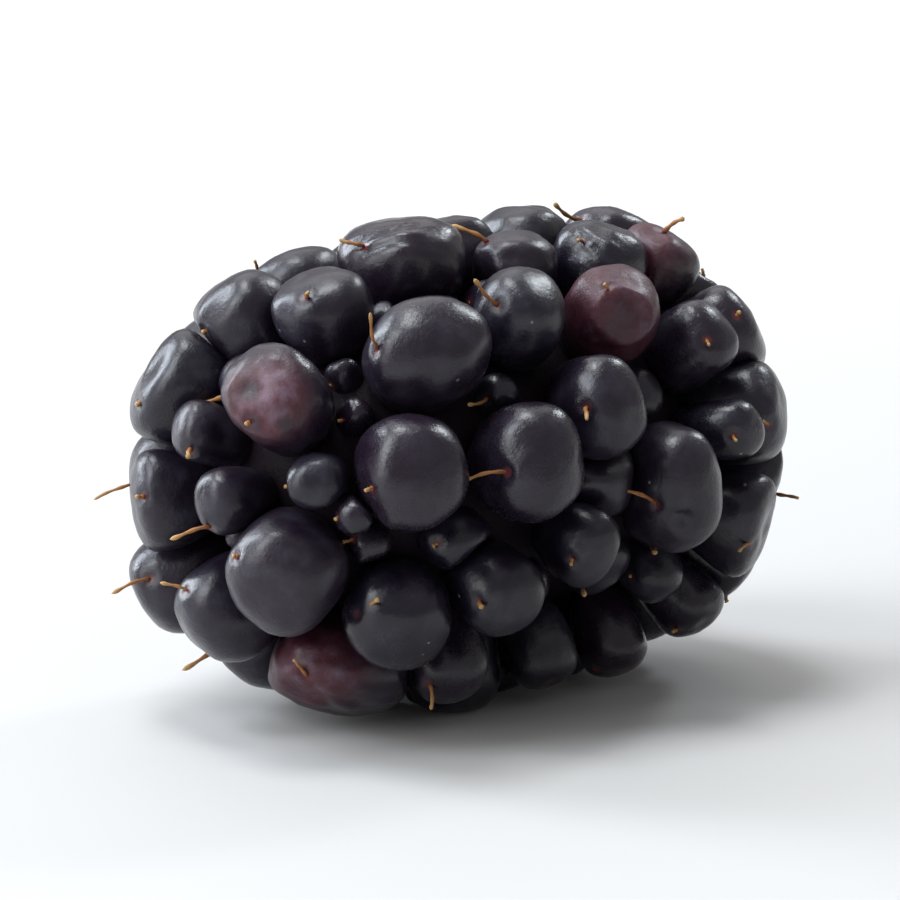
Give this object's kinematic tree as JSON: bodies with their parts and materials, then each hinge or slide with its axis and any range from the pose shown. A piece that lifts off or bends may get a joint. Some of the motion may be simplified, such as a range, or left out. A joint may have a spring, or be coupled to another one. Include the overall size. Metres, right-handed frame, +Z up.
{
  "type": "bramble berry",
  "caption": "Ripe bramble berry: a plump oblong fruit of small juicy drupelets fused round a soft core, lying on its side as picked.",
  "frame": {"origin": "on the surface that the berry lies on, under the middle of its bounding box", "axes": "+X along the berry from its tip to its stem end, +Z up"},
  "size_m": [0.0296, 0.0218, 0.0212],
  "materials": {
    "drupelet_skin": "satin blue-black fruit skin, with a few wine-red and mauve drupelets",
    "receptacle": "dull olive-yellow plant tissue, browned in the middle",
    "dried_style": "dry, thin, red-brown to straw-coloured fibre"
  },
  "bodies": {
    "root": {"berry": "drupelet_skin"}
  },
  "joints": []
}
